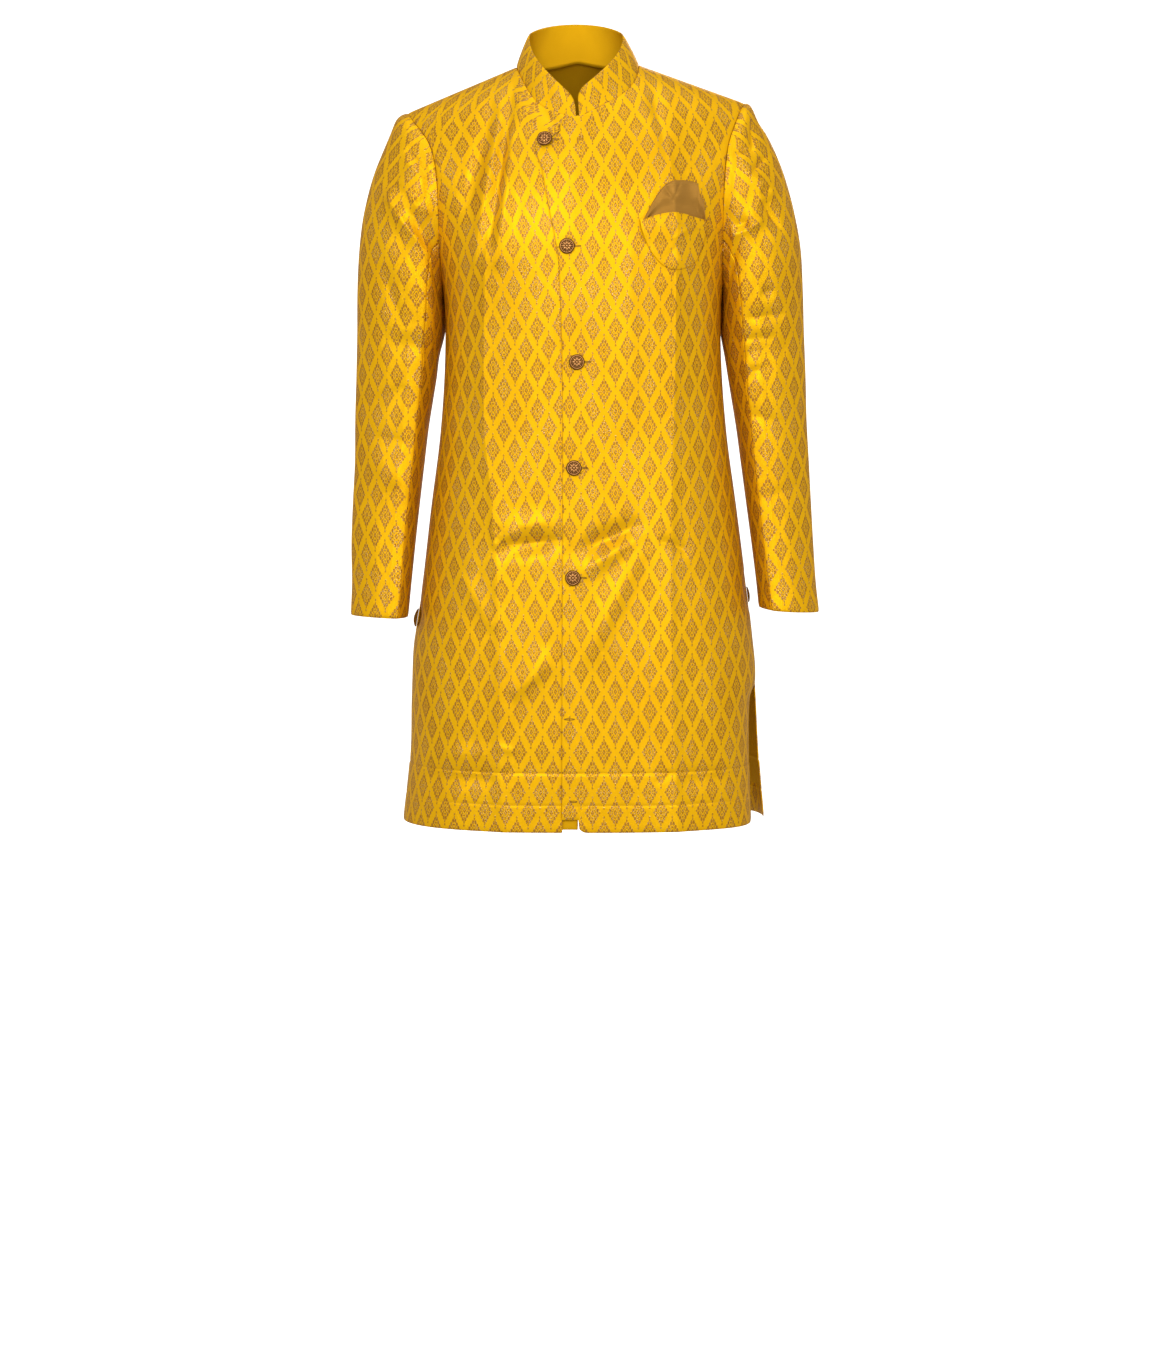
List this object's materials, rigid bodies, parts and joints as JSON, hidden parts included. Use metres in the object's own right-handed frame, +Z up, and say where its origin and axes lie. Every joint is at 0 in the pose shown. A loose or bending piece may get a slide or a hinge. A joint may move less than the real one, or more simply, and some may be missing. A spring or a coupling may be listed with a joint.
{
  "type": "sherwani coat",
  "caption": "Long stand-collar brocade coat with an overlapping buttoned front, two-piece sleeves, side vents and a chest pocket with a folded square.",
  "frame": {"origin": "midway between the two points where the shoulder seams meet the neck, where a wearer's or a stand's shoulders hold the coat", "axes": "+Z up along the coat's length, the front faces -Y, the wearer's left side is at +X"},
  "size_m": [0.6031, 0.3056, 1.0225],
  "materials": {
    "brocade": "yellow satin-ground brocade with small copper-gold lozenge motifs",
    "satin": "brown-gold satin",
    "button_metal": "antique copper, carved"
  },
  "bodies": {
    "root": {"front_right": "brocade", "front_left": "brocade", "back": "brocade", "sleeve_top_right": "brocade", "sleeve_under_right": "brocade", "sleeve_top_left": "brocade", "sleeve_under_left": "brocade", "collar": "brocade", "chest_pocket": "brocade", "pocket_square": "satin", "front_facing": "satin", "side_facing_right": "satin", "side_facing_left": "satin", "button_1": "button_metal", "button_2": "button_metal", "button_3": "button_metal", "button_4": "button_metal", "button_5": "button_metal"}
  },
  "joints": []
}
